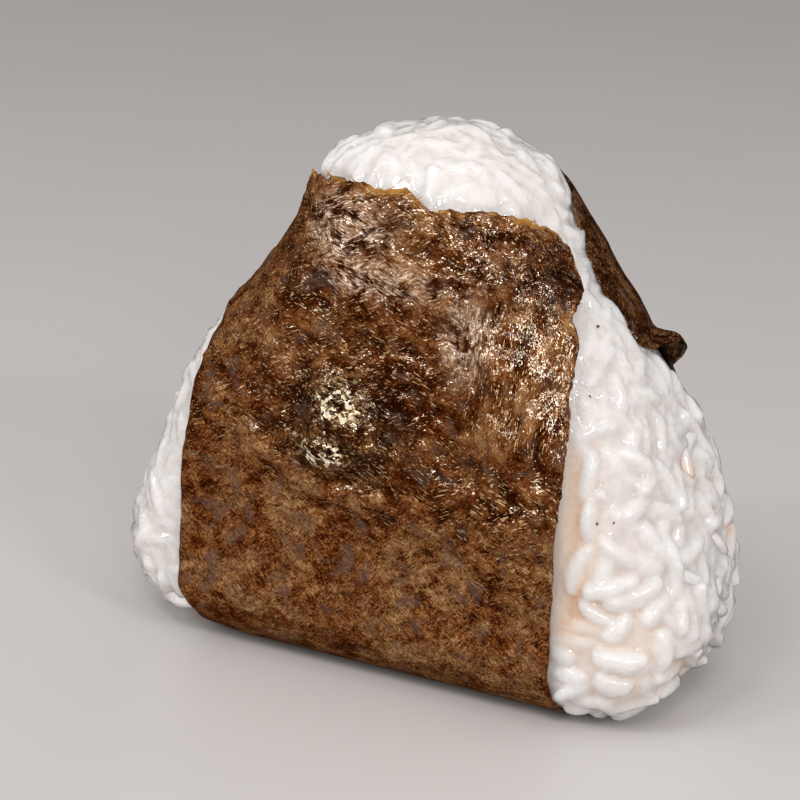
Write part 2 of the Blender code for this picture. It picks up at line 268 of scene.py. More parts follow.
def wrap(spots, edge, back):
    """Lay spots of the flat plan on the plain ball: the points there, and the way they face."""
    start, normals, radii = edge
    tangents = np.column_stack([-normals[:, 1], normals[:, 0]])

    def closest(spot):
        away = spot - start
        return (rows_dot(away, away) + SLIP_PENALTY * rows_dot(away, tangents) ** 2).argmin()

    nearest = np.array([closest(spot) for spot in spots])
    slip = rows_dot(spots - start[nearest], tangents[nearest])
    beside = (nearest + np.where(slip > 0, 1, -1)) % len(start)
    slip_beside = rows_dot(spots - start[beside], tangents[beside])
    share = np.clip(slip / (slip - slip_beside + 1e-12), 0, 1)

    def between(values):
        weight = share.reshape((-1,) + (1,) * (values.ndim - 1))
        return values[nearest] + (values[beside] - values[nearest]) * weight

    here, facing = between(start), unit_rows(between(normals))
    here_radii = [between(radius) for radius in radii]
    beyond = rows_dot(spots - here, facing)
    most = middle_reach(here, here_radii)
    spare = EASED_SHARE * most
    free = PANEL_LIMIT[back] * most - spare
    eased = free + spare * (1 - np.exp(-np.maximum(beyond - free, 0) / spare))
    standing = facing[:, 1] < STANDING
    reached = np.where(standing, np.minimum(beyond, most), np.where(beyond > free, eased, beyond))
    points, outward = fold(here, facing, here_radii, np.maximum(reached, 0))
    inside = beyond < 0
    points[inside] = np.column_stack([spots[:, 0], -half_depth(spots[:, 1]), spots[:, 1]])[inside]
    outward[inside] = (0, -1, 0)
    side = np.array([1, -1 if back else 1, 1])
    return points * side, outward * side


def hand_rise(points):
    """How far the hands that shaped the ball left it fuller or hollow."""
    rise = np.zeros(len(points))
    for _, place, spread, height in HAND_MARKS:
        rise += height * np.exp(-((away_from(points, place) / spread) ** 2))
    return rise


def strip_left(height):
    """The strip's left edge, which draws in where it turns under the base and near its top."""
    drawn_in = (gain * smooth_step(start, end, height) for start, end, gain in (UNDER_DRAW, TOP_DRAW))
    return STRIP_LEFT + sum(drawn_in)


def strip_right(height, back):
    """The strip's right edge: torn notch in front, a wide flap behind."""
    if back:
        flap = (gain * smooth_step(high, low, height) for high, low, gain in BACK_FLAP)
        return STRIP_RIGHT - BACK_DRAW + sum(flap)
    notch = NOTCH_DEPTH * np.exp(-(((height - NOTCH_HEIGHT) / NOTCH_SPREAD) ** 2))
    return STRIP_RIGHT - WAIST[2] * smooth_step(*WAIST[:2], height) - notch


def torn(values, teeth, seed):
    """Teeth of several sizes along a torn edge."""
    line = np.column_stack([values, 0 * values, 0 * values])
    return sum(depth * soft_noise(line, size, seed + 5 * level) for level, (size, depth) in enumerate(teeth))


def strip_top(share, back):
    """The torn end at a share of the width: level behind, a step lower on the right in front."""
    across = STRIP_LEFT + (STRIP_RIGHT - STRIP_LEFT) * share
    if back:
        level = np.full(len(across), BACK_TOP)
    else:
        level = FRONT_TOP_LEFT + (FRONT_TOP_RIGHT - FRONT_TOP_LEFT) * smooth_step(*FRONT_STEP, across)
    into_corner = np.maximum(across - (STRIP_RIGHT - CORNER_RADIUS), 0)
    drop = CORNER_RADIUS - np.sqrt(np.maximum(CORNER_RADIUS**2 - into_corner**2, 0))
    return level - drop + torn(across, TEARS, END_SEED + back)


def outside_panel(spots, back):
    """How far spots of the flat plan lie outside one panel of the strip; negative inside it."""
    across, height = spots[:, 0], spots[:, 1]
    left, right = strip_left(height), strip_right(height, back)
    top = strip_top(np.clip((across - left) / (right - left), 0, 1), back)
    return np.maximum(np.maximum(across - right, left - across), height - top)


def outside_strip(start, normals, most, share, back):
    """The same for both panels at once, at a share of the way from one face to the middle plane."""
    outside = []
    for panel, reached in ((back, share), (not back, 2 - share)):
        past = (reached - PANEL_LIMIT[panel] + EASED_SHARE) / EASED_SHARE
        drawn_in = -np.log(max(1 - past, 1e-6)) if past > 0 else past
        unrolled = PANEL_LIMIT[panel] + EASED_SHARE * (drawn_in - 1)
        sides = outside_panel(start + normals * (most * unrolled)[:, None], panel)
        base = outside_panel(start + normals * (most * reached)[:, None], panel)
        outside.append(np.where(normals[:, 1] < STANDING, base, sides))
    return np.minimum(*outside)


# ---------------------------------------------------------------------------------------------------
# Shader and geometry trees.


class Wire:
    """A socket of a node tree that can stand in an expression, which adds its Math nodes."""

    def __init__(self, tree, socket=None):
        self.tree = tree
        self.socket = socket

    def node(self, kind, settings=None, sockets=None, output=0):
        """Add any node: its type, its settings, and the values or links of its sockets."""
        made = self.tree.nodes.new(kind)
        for name, value in (settings or {}).items():
            if name == "stops":
                ramp = made.color_ramp
                while len(ramp.elements) < len(value):
                    ramp.elements.new(0.5)
                for element, (position, colour) in zip(ramp.elements, value):
                    element.position = position
                    element.color = (*colour, 1)
            else:
                setattr(made, name, value)
        for name, value in (sockets or {}).items():
            if isinstance(value, Wire):
                self.tree.links.new(value.socket, made.inputs[name])
            else:
                made.inputs[name].default_value = value
        return Wire(self.tree, made.outputs[output])

    def beside(self, output):
        """Another output of the same node."""
        return Wire(self.tree, self.socket.node.outputs[output])

    def math(self, operation, first, second=0.0, clamp=False):
        settings = {"operation": operation, "use_clamp": clamp}
        return self.node("ShaderNodeMath", settings, {0: first, 1: second})

    def __add__(self, other):
        return self.math("ADD", self, other)

    def __radd__(self, other):
        return self.math("ADD", other, self)

    def __sub__(self, other):
        return self.math("SUBTRACT", self, other)

    def __rsub__(self, other):
        return self.math("SUBTRACT", other, self)

    def __mul__(self, other):
        return self.math("MULTIPLY", self, other)

    def __rmul__(self, other):
        return self.math("MULTIPLY", other, self)

    def __truediv__(self, other):
        return self.math("DIVIDE", self, other)

    def clamp(self):
        return self.math("ADD", self, 0.0, clamp=True)

    def step(self, low, high):
        """Smoothly from 0 below `low` to 1 above `high`."""
        sockets = {"Value": self, "From Min": low, "From Max": high}
        return self.node("ShaderNodeMapRange", {"interpolation_type": "SMOOTHSTEP"}, sockets)

    def tint(self, first, second):
        """A colour that runs from `first` to `second` as this value goes from 0 to 1."""
        settings = {"data_type": "RGBA"}
        colours = {}
        for name, colour in ((6, first), (7, second)):
            colours[name] = colour if isinstance(colour, Wire) else (*colour, 1)
        return self.node("ShaderNodeMix", settings, {0: self, **colours}, output=2)

    def ramp(self, colours):
        """The colours, spread evenly from 0 to 1."""
        stops = [(step / (len(colours) - 1), colour) for step, colour in enumerate(colours)]
        return self.node("ShaderNodeValToRGB", {"stops": stops}, {"Fac": self})

    def bump(self, strength, depth):
        """This value as a relief `depth` millimetres deep."""
        return self.node("ShaderNodeBump", {}, {"Strength": strength, "Distance": depth * MM, "Height": self})

    def attribute(self, name):
        return self.node("ShaderNodeAttribute", {"attribute_name": name}, output="Fac")

    def place(self, stretch=(1, 1, 1), turn=(0, 0, 0)):
        """The object's own coordinates, turned and then stretched."""
        coordinates = self.node("ShaderNodeTexCoord", output="Object")
        sockets = {"Vector": coordinates, "Rotation": turn, "Scale": stretch}
        return self.node("ShaderNodeMapping", {"vector_type": "TEXTURE"}, sockets)

    def grain(self, where, size, detail=2, rough=0.5, warp=0):
        """Noise with features `size` millimetres wide."""
        return self.node("ShaderNodeTexNoise", {}, {
            "Vector": where,
            "Scale": 1 / (size * MM),
            "Detail": detail,
            "Roughness": rough,
            "Distortion": warp,
        })


def new_material(name, constants):
    """A material, the wire that starts its expressions, and its shader; the constants are set on it."""
    made = bpy.data.materials.new(name)
    made.use_nodes = True
    shader = made.node_tree.nodes["Principled BSDF"]
    for socket, value in constants.items():
        shader.inputs[socket].default_value = value
    return made, Wire(made.node_tree), shader


def plug(shader, **inputs):
    """Link wires to the shader's sockets."""
    for name, wire in inputs.items():
        shader.id_data.links.new(wire.socket, shader.inputs[name.replace("_", " ")])


RICE_MILKY = ((0.725, 0.685, 0.665), (0.785, 0.750, 0.735))
RICE_STARCHY = (0.82, 0.795, 0.785)
# painted warm shade, for the deep places between the grains and the gap beside the strip
RICE_CREVICE_SHADE = (0.84, 0.63, 0.47)
RICE_BLUSH = (0.86, 0.50, 0.33)
RUSSET = (
    (0.018, 0.0030, 0.0003),
    (0.054, 0.0100, 0.0012),
    (0.150, 0.0370, 0.0060),
    (0.250, 0.0850, 0.0220),
    (0.400, 0.1900, 0.0740),
)
OLIVE = (
    (0.018, 0.0050, 0.0010),
    (0.053, 0.0180, 0.0048),
    (0.138, 0.0640, 0.0230),
    (0.215, 0.1130, 0.0440),
    (0.350, 0.2150, 0.1050),
)
PLUM = (0.118, 0.074, 0.058)
# painted sheen, and the pale threads in it, for light that the sheet reflects
SHEEN = (0.42, 0.26, 0.165)
SHEEN_THREADS = (0.88, 0.72, 0.58)
# painted glints along fine threads
PAINTED_GLINT_THREADS = (0.70, 0.48, 0.26)
# thin dark lines in a network, where the film is glossy
DARK_LINES = (0.010, 0.002, 0.0005)
# painted shade between the crumpled flats, then painted glints on them: amber, gold and pale
FOIL_PAINTED_SHADE = (0.030, 0.010, 0.002)
FOIL_PAINTED_AMBER_GLINT = (0.75, 0.48, 0.18)
FOIL_PAINTED_GOLD_GLINT = (0.88, 0.66, 0.30)
FOIL_PAINTED_PALE_GLINT = (1.0, 0.92, 0.74)
# the thin torn end, painted gold for light shining through it
FRINGE_PAINTED_GLOW = (0.52, 0.25, 0.06)
FLOOR_PALE = ((0.60, 0.575, 0.565), (0.63, 0.605, 0.595))


def rice_material(name, relief, depth, radius, reach):
    """Moist cooked rice: white and translucent, with warm shade painted into the gaps between the grains."""
    made, start, shader = new_material(name, {
        "Subsurface Weight": depth,
        "Subsurface Radius": radius,
        "Subsurface Scale": reach * MM,
        "Coat Roughness": 0.05,
        "Coat IOR": 1.6,
        "IOR": 1.38,
        "Specular IOR Level": 0.4,
    })
    where = start.place()
    milky = start.grain(where, 2.6).step(0.35, 0.65)
    starchy = start.grain(where, 7.0, detail=1).step(0.45, 0.7)
    skin = start.grain(where, 0.9, detail=3).step(0.3, 0.7)
    wet = start.grain(where, 0.9).step(0.45, 0.56)
    colour = milky.tint(*RICE_MILKY)
    colour = (starchy * 0.3).tint(colour, RICE_STARCHY)
    # warm shade painted between the grains and into the gap beside the strip
    colour = (start.attribute("crevice") * 0.75).clamp().tint(colour, RICE_CREVICE_SHADE)
    colour = start.attribute("blush").tint(colour, RICE_BLUSH)
    height = start.grain(where, 0.45) * 0.65 + start.grain(where, 1.6, detail=1) * 0.4
    plug(shader, Base_Color=colour, Roughness=skin * 0.16 + 0.2)
    plug(shader, Coat_Weight=wet * 0.85 + 0.12, Normal=height.bump(relief, 0.25))
    return made


def nori_patterns(start):
    """The zones of the strip and the noises of the seaweed, by name."""
    where = start.place()
    seen = SimpleNamespace(**{name: start.attribute(name) for name in STRIP_MARKS})
    one_way = start.grain(where, 3.4, detail=1).step(0.42, 0.58)

    def strands(turn, size, stretch, detail, warp):
        return start.grain(start.place((1, 1, stretch), (0, turn, 0)), size, detail, 0.55, warp)

    def woven(first, second, *form):
        return strands(first, *form) * one_way + strands(second, *form) * (1 - one_way)

    def drawn(size, stretch, detail=1, warp=0.4):
        """Strands that run round the ball, but upright on its right fold."""
        form = (size, stretch, detail, warp)
        return woven(1.95, 1.15, *form) * (1 - seen.upright) + strands(0.12, *form) * seen.upright

    seen.fibres = woven(0.75, -0.8, 0.17, 5, 1, 0.4)
    seen.speckle = start.grain(where, 0.24, detail=1, warp=0.5)
    # strands for the painted glints and for the threads of the painted sheen
    seen.scratches = drawn(0.20, 6)
    seen.wrinkles = drawn(0.55, 3.0, warp=0.3)
    seen.crumple = start.grain(where, 1.7, detail=1, rough=0.45)
    seen.mottle = drawn(0.6, 2.0, detail=2, warp=0.5)
    seen.patches = drawn(2.0, 2.0, detail=3, warp=0.6)
    seen.cloud = start.grain(where, 8.0, warp=0.8)
    seen.plum = start.grain(where, 2.6, warp=0.5).step(0.54, 0.68)
    seen.veins = drawn(1.1, 1.8, detail=2, warp=0.8) - 0.5
    seen.foil = seen.foil * (seen.crumple + seen.mottle).step(0.86, 0.98)
    # the painted sheen is broken into mottled patches
    seen.bloom = seen.bloom * seen.mottle.step(0.36, 0.56) * seen.patches.step(0.38, 0.54)
    seen.shade = seen.shade * (1 - seen.foil)
    return seen


def facets(place, size, upturned):
    """A tilted flat for each cell, as in crumpled foil, most of them turned up; and the cells' picks."""
    pick = place.node("ShaderNodeTexVoronoi", {}, {"Vector": place, "Scale": 1 / (size * MM)}, "Color")
    subtract, dot = ({"operation": operation} for operation in ("SUBTRACT", "DOT_PRODUCT"))
    away = place.node("ShaderNodeVectorMath", subtract, {0: place, 1: pick.beside("Position")})
    lean = place.node("ShaderNodeVectorMath", subtract, {0: pick, 1: (0.5, 0.5, 0.5 + upturned)})
    return place.node("ShaderNodeVectorMath", dot, {0: away, 1: lean}, output=1) / MM, pick


def nori_colour(seen, foil_pick):
    """Russet and olive fibres in patches, then each layer over them: plum patches, painted sheen, painted
    glints, thin dark lines, painted shade and glints on the crumpled flats, and the torn end painted gold for
    light through it.
    """
    gloss, shine, bloom, foil, dark = seen.gloss, seen.shine, seen.bloom, seen.foil, seen.shade
    tone = (seen.cloud - 0.5) * 0.9 + (seen.patches - 0.5) * 1.75 + (seen.mottle - 0.5) * (1.0 - gloss * 0.35)
    fine = (seen.fibres - 0.5) * (1.5 - gloss * 0.4) + (seen.speckle - 0.5) * (1.2 - gloss * 0.5)
    # the tone is painted lighter on the relief's crests and darker in its hollows, darker in the painted
    # shade, and lighter in the painted sheen and where the right fold catches the light
    tone = tone * (0.76 + gloss * 0.34) + fine + seen.hollow * 0.3 + 0.50
    tone = tone - gloss * 0.13 - dark * 0.34 + bloom * 0.32 + shine * 0.2
    # olive in patches, and more so in the painted shade
    olive_share = seen.patches.step(0.32, 0.58) * 0.35 + seen.cloud.step(0.38, 0.60) * 0.5 + dark * 0.4
    colour = (olive_share * (1 - gloss * 0.5)).clamp().tint(tone.ramp(RUSSET), tone.ramp(OLIVE))
    # painted glints along fine threads, most where the film is glossy and on the right fold, fewer in the
    # painted shade
    threads = seen.scratches.step(0.60, 0.68) * (gloss * 0.75 + shine * 0.6 + 0.03) * (1 - dark * 0.5)
    core = foil.step(0.45, 0.8)
    ragged = foil_pick + (seen.speckle - 0.5) * 0.6 + (seen.fibres - 0.5) * 0.5
    for share, layer in (
        (seen.plum * (0.5 - gloss * 0.15), PLUM),
        (bloom * 0.65, SHEEN),
        (threads.clamp(), PAINTED_GLINT_THREADS),
        (bloom * seen.scratches.step(0.50, 0.58), SHEEN_THREADS),
        ((seen.veins * seen.veins).step(0.0005, 0.0) * (gloss * 0.25), DARK_LINES),
        # painted shade over the crumpled flats, and painted glints on some of them
        (foil * (0.8 - core * 0.3), FOIL_PAINTED_SHADE),
        (foil * (1 - core) * foil_pick.step(0.62, 0.68) * 0.8, FOIL_PAINTED_AMBER_GLINT),
        (core * ragged.step(0.46, 0.56) * 0.85, FOIL_PAINTED_GOLD_GLINT),
        (core * ragged.step(0.56, 0.66) * 0.85, FOIL_PAINTED_PALE_GLINT),
        (seen.fringe, FRINGE_PAINTED_GLOW),
    ):
        colour = share.tint(colour, layer)
    return colour


def nori_relief(start, seen, foil_flats):
    """Wrinkles and crumples, with small flats where the seaweed is creased."""
    lying, _ = facets(start.place((3.2, 1, 1), (0, -0.2, 0)), 0.30, 0.2)
    standing, _ = facets(start.place((1, 1, 4.0), (0, 0.15, 0)), 0.55, 0.1)
    flats = lying * (1 - seen.upright) + standing * seen.upright
    flats = flats * (seen.gloss * 0.5) * (1 - seen.foil) + foil_flats * seen.foil * 1.1
    height = seen.wrinkles * (seen.gloss * 0.16 + 0.03) + seen.crumple * (seen.gloss * 0.3 + 0.1)
    return (height + seen.fibres * 0.01 + flats).bump(1.0, 1.0)


def nori_material(name):
    """Dried seaweed: dull pressed fibres, with a glossy film in flecks where it is creased."""
    made, start, matte = new_material(name, {
        "IOR": 1.5,
        "Specular IOR Level": 0.03,
        "Specular Tint": (1.0, 0.6, 0.3, 1),
        "Roughness": 0.45,
    })
    film = start.node("ShaderNodeBsdfPrincipled", {}, {
        "IOR": 1.8,
        "Specular IOR Level": 1.0,
        "Specular Tint": (1.0, 0.86, 0.68, 1),
    })
    seen = nori_patterns(start)
    foil_flats, foil_pick = facets(start.place((1, 1, 0.65), (0, 0.5, 0)), 0.6, 0.5)
    colour = nori_colour(seen, foil_pick)
    relief = nori_relief(start, seen, foil_flats)
    glossy = seen.gloss * seen.patches.step(0.38, 0.52) * seen.mottle.step(0.44, 0.54)
    glossy = (glossy + seen.shine * 0.75 + seen.bloom * 0.5 + seen.foil).clamp()
    rough = (0.065 + (seen.mottle - 0.5) * 0.08).clamp()
    plug(matte, Base_Color=colour, Normal=relief)
    plug(film.socket.node, Base_Color=colour, Roughness=rough, Normal=relief)
    dull = Wire(start.tree, matte.outputs[0])
    mixed = start.node("ShaderNodeMixShader", {}, {0: glossy, 1: dull, 2: film})
    plug(start.tree.nodes["Material Output"], Surface=mixed)
    return made


def floor_material():
    made, start, shader = new_material("pale floor", {"Roughness": 0.45})
    plug(shader, Base_Color=start.grain(start.place(), 60, detail=1).tint(*FLOOR_PALE))
    return made


# ---------------------------------------------------------------------------------------------------
# Meshes.


def in_part(points):
    """Points of the plain ball, in metres of the part."""
    return (np.asarray(points, float) + BALL_PLACE) * MM


def make_object(name, mesh, *materials):
    made = bpy.data.objects.new(name, mesh)
    bpy.context.scene.collection.objects.link(made)
    for material in materials:
        mesh.materials.append(material)
    return made


def new_mesh(name, points, faces):
    mesh = bpy.data.meshes.new(name)
    mesh.from_pydata([tuple(point) for point in points], [], faces)
    mesh.validate()
    mesh.shade_smooth()
    return mesh


def store(mesh, **values):
    """Keep one number for each vertex under each name, for the materials and the node trees."""
    for name, numbers in values.items():
        kept = mesh.attributes.new(name, "FLOAT", "POINT")
        kept.data.foreach_set("value", np.asarray(numbers, np.float32))


def grid_faces(rows, columns, closed=False):
    faces = []
    around = columns if closed else columns - 1
    for row in range(rows - 1):
        for column in range(around):
            near, far = row * columns, (row + 1) * columns
            beside = (column + 1) % columns
            faces.append((near + column, far + column, far + beside, near + beside))
    return faces


def finished(made):
    """Turn an object's modifiers into its mesh, without the empty slots that the node tree leaves."""
    graph = bpy.context.evaluated_depsgraph_get()
    mesh = bpy.data.meshes.new_from_object(made.evaluated_get(graph))
    for slot in reversed(range(len(mesh.materials))):
        if mesh.materials[slot] is None:
            mesh.materials.pop(index=slot)
    made.modifiers.clear()
    made.data = mesh
    return made


# ---------------------------------------------------------------------------------------------------
# The rice.

CORE_STEPS = 260
CORE_FACE_RINGS = 10
CORE_ROUND_RINGS = 24
CORE_LOWEST = (-0.8, -0.1)  # where the rice is bare, and under the strip
GRAIN_LENGTH = 6.9
GRAIN_WIDTH = 2.7
GRAIN_THICKNESS = 2.3
GRAIN_ENDS = 0.62  # the lower, the blunter
GRAIN_KINDS = (("Straight Grain", 0.1, 0.10), ("Bent Grain", 0.7, 0.14), ("Plump Grain", -0.35, 0.04))
PRESSED_GRAINS = {
    "Spacing": 1.7 * MM,
    "Density": 0.5 / MM**2,
    "Tilt": 0.22,
    "Level": -0.55 * MM,
    "Level Spread": 0.55 * MM,
    "Smallest": 0.8,
    "Largest": 1.05,
    "Seed": 7,
    "Keep Surface": True,
}
LOOSE_GRAINS = {
    "Spacing": 2.4 * MM,
    "Density": 0.016 / MM**2,
    "Tilt": 0.25,
    "Level": -0.45 * MM,
    "Level Spread": 0.35 * MM,
    "Smallest": 0.85,
    "Largest": 1.08,
    "Seed": 21,
    "Keep Surface": False,
}
VOXEL = 0.30
KEPT_FACES = 0.46  # the share of the fused skin's faces
BLUSHES = (((34.5, 0.5, 29.5), 1.4), ((37.0, 8.5, 20.5), 1.2))  # pink spots: middle and spread
BLUSH_SHARES = (0.9, 0.36)  # on the mass and on the loose grains
GAP = ((27, -15.5, 13), (26.5, -14.5, 33))  # the line of the gap beside the strip, along which warm shade is painted into the rice


def grain_shape(bend, taper, around=8, along=9):
    """One cooked grain lying along X: a plump rod with round ends, a little bent and narrower at one end."""
    points = []
    for ring in range(1, along):
        angle = np.pi * ring / along
        x = -np.cos(angle)
        swell = np.sin(angle) ** GRAIN_ENDS * (1 - taper * x)
        for step in range(around):
            turn = 2 * np.pi * step / around
            points.append((
                x * GRAIN_LENGTH / 2,
                swell * np.cos(turn) * GRAIN_WIDTH / 2 + bend * (x * x - 0.4),
                swell * np.sin(turn) * GRAIN_THICKNESS / 2,
            ))
    count = (along - 1) * around
    points += [(-GRAIN_LENGTH / 2, bend * 0.6, 0), (GRAIN_LENGTH / 2, bend * 0.6, 0)]
    faces = grid_faces(along - 1, around, closed=True)
    last = count - around
    for step in range(around):
        beside = (step + 1) % around
        faces.append((count, step, beside))
        faces.append((count + 1, last + beside, last + step))
    return np.array(points), [face[::-1] for face in faces]


def grain_mesh(name, bend, taper):
    points, faces = grain_shape(bend, taper)
    return new_mesh(name, points * MM, faces)


# Whole grains that stand out of the mass: the middle, the turn from level in degrees, length, width, level.
PROUD_GRAINS = (
    ((30.5, -10.5, 32), -51, 7.9, 3.0, -0.4),
    ((28, -16, 20.5), -107, 6.8, 2.5, -0.4),
    ((31, -15, 21), -99, 8.2, 2.7, -0.4),
    ((35, -11, 21), -10, 4.4, 3.2, -0.4),
    ((34, -13, 17.5), 18, 8.0, 2.7, -0.4),
    ((32, -12.5, 26.5), -42, 4.6, 2.7, -0.4),
    ((26.8, -17, 9.5), -21, 3.8, 2.8, -0.4),
    ((34, -15.5, 10), 0, 6.9, 2.7, -0.4),
    ((38, -12, 11), -88, 5.4, 3.1, -0.4),
    ((37, -12, 16), 40, 5.0, 2.7, -0.4),
    ((33.5, -15.5, 14), 50, 4.6, 2.4, -0.4),
    ((26.5, -14, 35), -71, 4.8, 2.4, -0.4),
    ((36, -5, 24), 63, 5.2, 2.6, -0.4),
    ((33.5, -16, 6.5), -12, 4.8, 3.2, -0.4),
    ((37.5, -8, 4.5), 3, 5.5, 2.8, -0.4),
    ((28, -17, 7), -2, 4.4, 2.4, -0.4),
    ((-6.8, -3, 66), 8, 6.5, 3.2, 0.7),
    ((-1.5, 4.5, 67), -60, 3.6, 2.8, 0.3),
    ((1.5, 6, 66.5), 35, 4.4, 2.8, 0.35),
    ((4.5, 6, 66), -20, 4.4, 2.6, 0.3),
    ((-12.5, -3, 63), 50, 4.4, 2.8, 1.0),
)


def proud_grains(plain):
    """The whole grains of the table, laid on the plain surface: their points, faces and middle lines."""
    points, faces, lines = [], [], []
    for number, (middle, turn, length, width, level) in enumerate(PROUD_GRAINS):
        shape, shape_faces = grain_shape((0.1, 0.6, -0.3)[number % 3], 0.08, around=12, along=12)
        place, facing, _, _ = plain.find_nearest(Vector(middle))
        sideways = Vector((0, 0, 1)).cross(facing).normalized()
        upward = facing.cross(sideways)
        turn = math.radians(turn)
        ahead = sideways * math.cos(turn) + upward * math.sin(turn)
        beside = facing.cross(ahead)
        axes = np.array([ahead * (length / GRAIN_LENGTH), beside * (width / GRAIN_WIDTH), facing])
        centre = np.array(place + facing * level)
        faces += [tuple(sum(map(len, points)) + corner for corner in face) for face in shape_faces]
        points.append(centre + shape @ axes)
        lines += [centre + np.array(ahead) * length * share for share in (-0.35, 0, 0.35)]
    return np.concatenate(points), faces, np.array(lines)


def distinctness(points):
    """From 0, grains pressed into one smooth mass, to 1, grains that lie apart."""
    x, y, z = points.T
    lower_right = smooth_step(22, 30, x) * smooth_step(44, 26, z)
    flank = smooth_step(14, 24, x) * smooth_step(34, 44, z) * smooth_step(64, 56, z) * smooth_step(13, 4, y)
    dome = smooth_step(54, 62, z)
    left = smooth_step(-20, -30, x)
    unseen = smooth_step(2, 12, y)
    value = 0.45 + 0.55 * lower_right - 0.30 * dome - 0.1 * left + 0.15 * unseen * (1 - dome)
    return np.clip(value * (1 - 0.85 * flank), 0, 1)


def rice_surface():
    """The plain ball in fine rings: points, the way they face, how far outside the strip, and faces."""
    start, normals, radii = flat_edge(CORE_STEPS)
    centre = start.mean(axis=0)
    most = middle_reach(start, radii)

    def half(back):
        side = np.array([1, -1 if back else 1, 1])
        for ring in range(1, CORE_FACE_RINGS):
            spots = centre + (start - centre) * np.sin(np.pi / 2 * ring / CORE_FACE_RINGS)
            points = np.column_stack([spots[:, 0], -half_depth(spots[:, 1]), spots[:, 1]])
            outward = np.tile((0.0, -1.0, 0.0), (len(spots), 1))
            yield points * side, outward * side, outside_panel(spots, back)
        for ring in range(CORE_ROUND_RINGS + 1):
            share = ring / CORE_ROUND_RINGS
            points, outward = fold(start, normals, radii, most * share)
            yield points * side, outward * side, outside_strip(start, normals, most, share, back)

    rings = list(half(False)) + list(half(True))[-2::-1]
    points, outward, bare = (np.concatenate(values) for values in zip(*rings))
    poles = np.array([(centre[0], side * half_depth(centre[1]), centre[1]) for side in (-1, 1)])
    points = np.concatenate([points, poles])
    outward = np.concatenate([outward, [(0, -1, 0), (0, 1, 0)]])
    bare = np.concatenate([bare, [-9, -9]])
    faces = grid_faces(len(rings), CORE_STEPS, closed=True)
    last = (len(rings) - 1) * CORE_STEPS
    for step in range(CORE_STEPS):
        following = (step + 1) % CORE_STEPS
        faces.append((len(points) - 2, step, following))
        faces.append((len(points) - 1, last + following, last + step))
    return points, outward, bare, faces


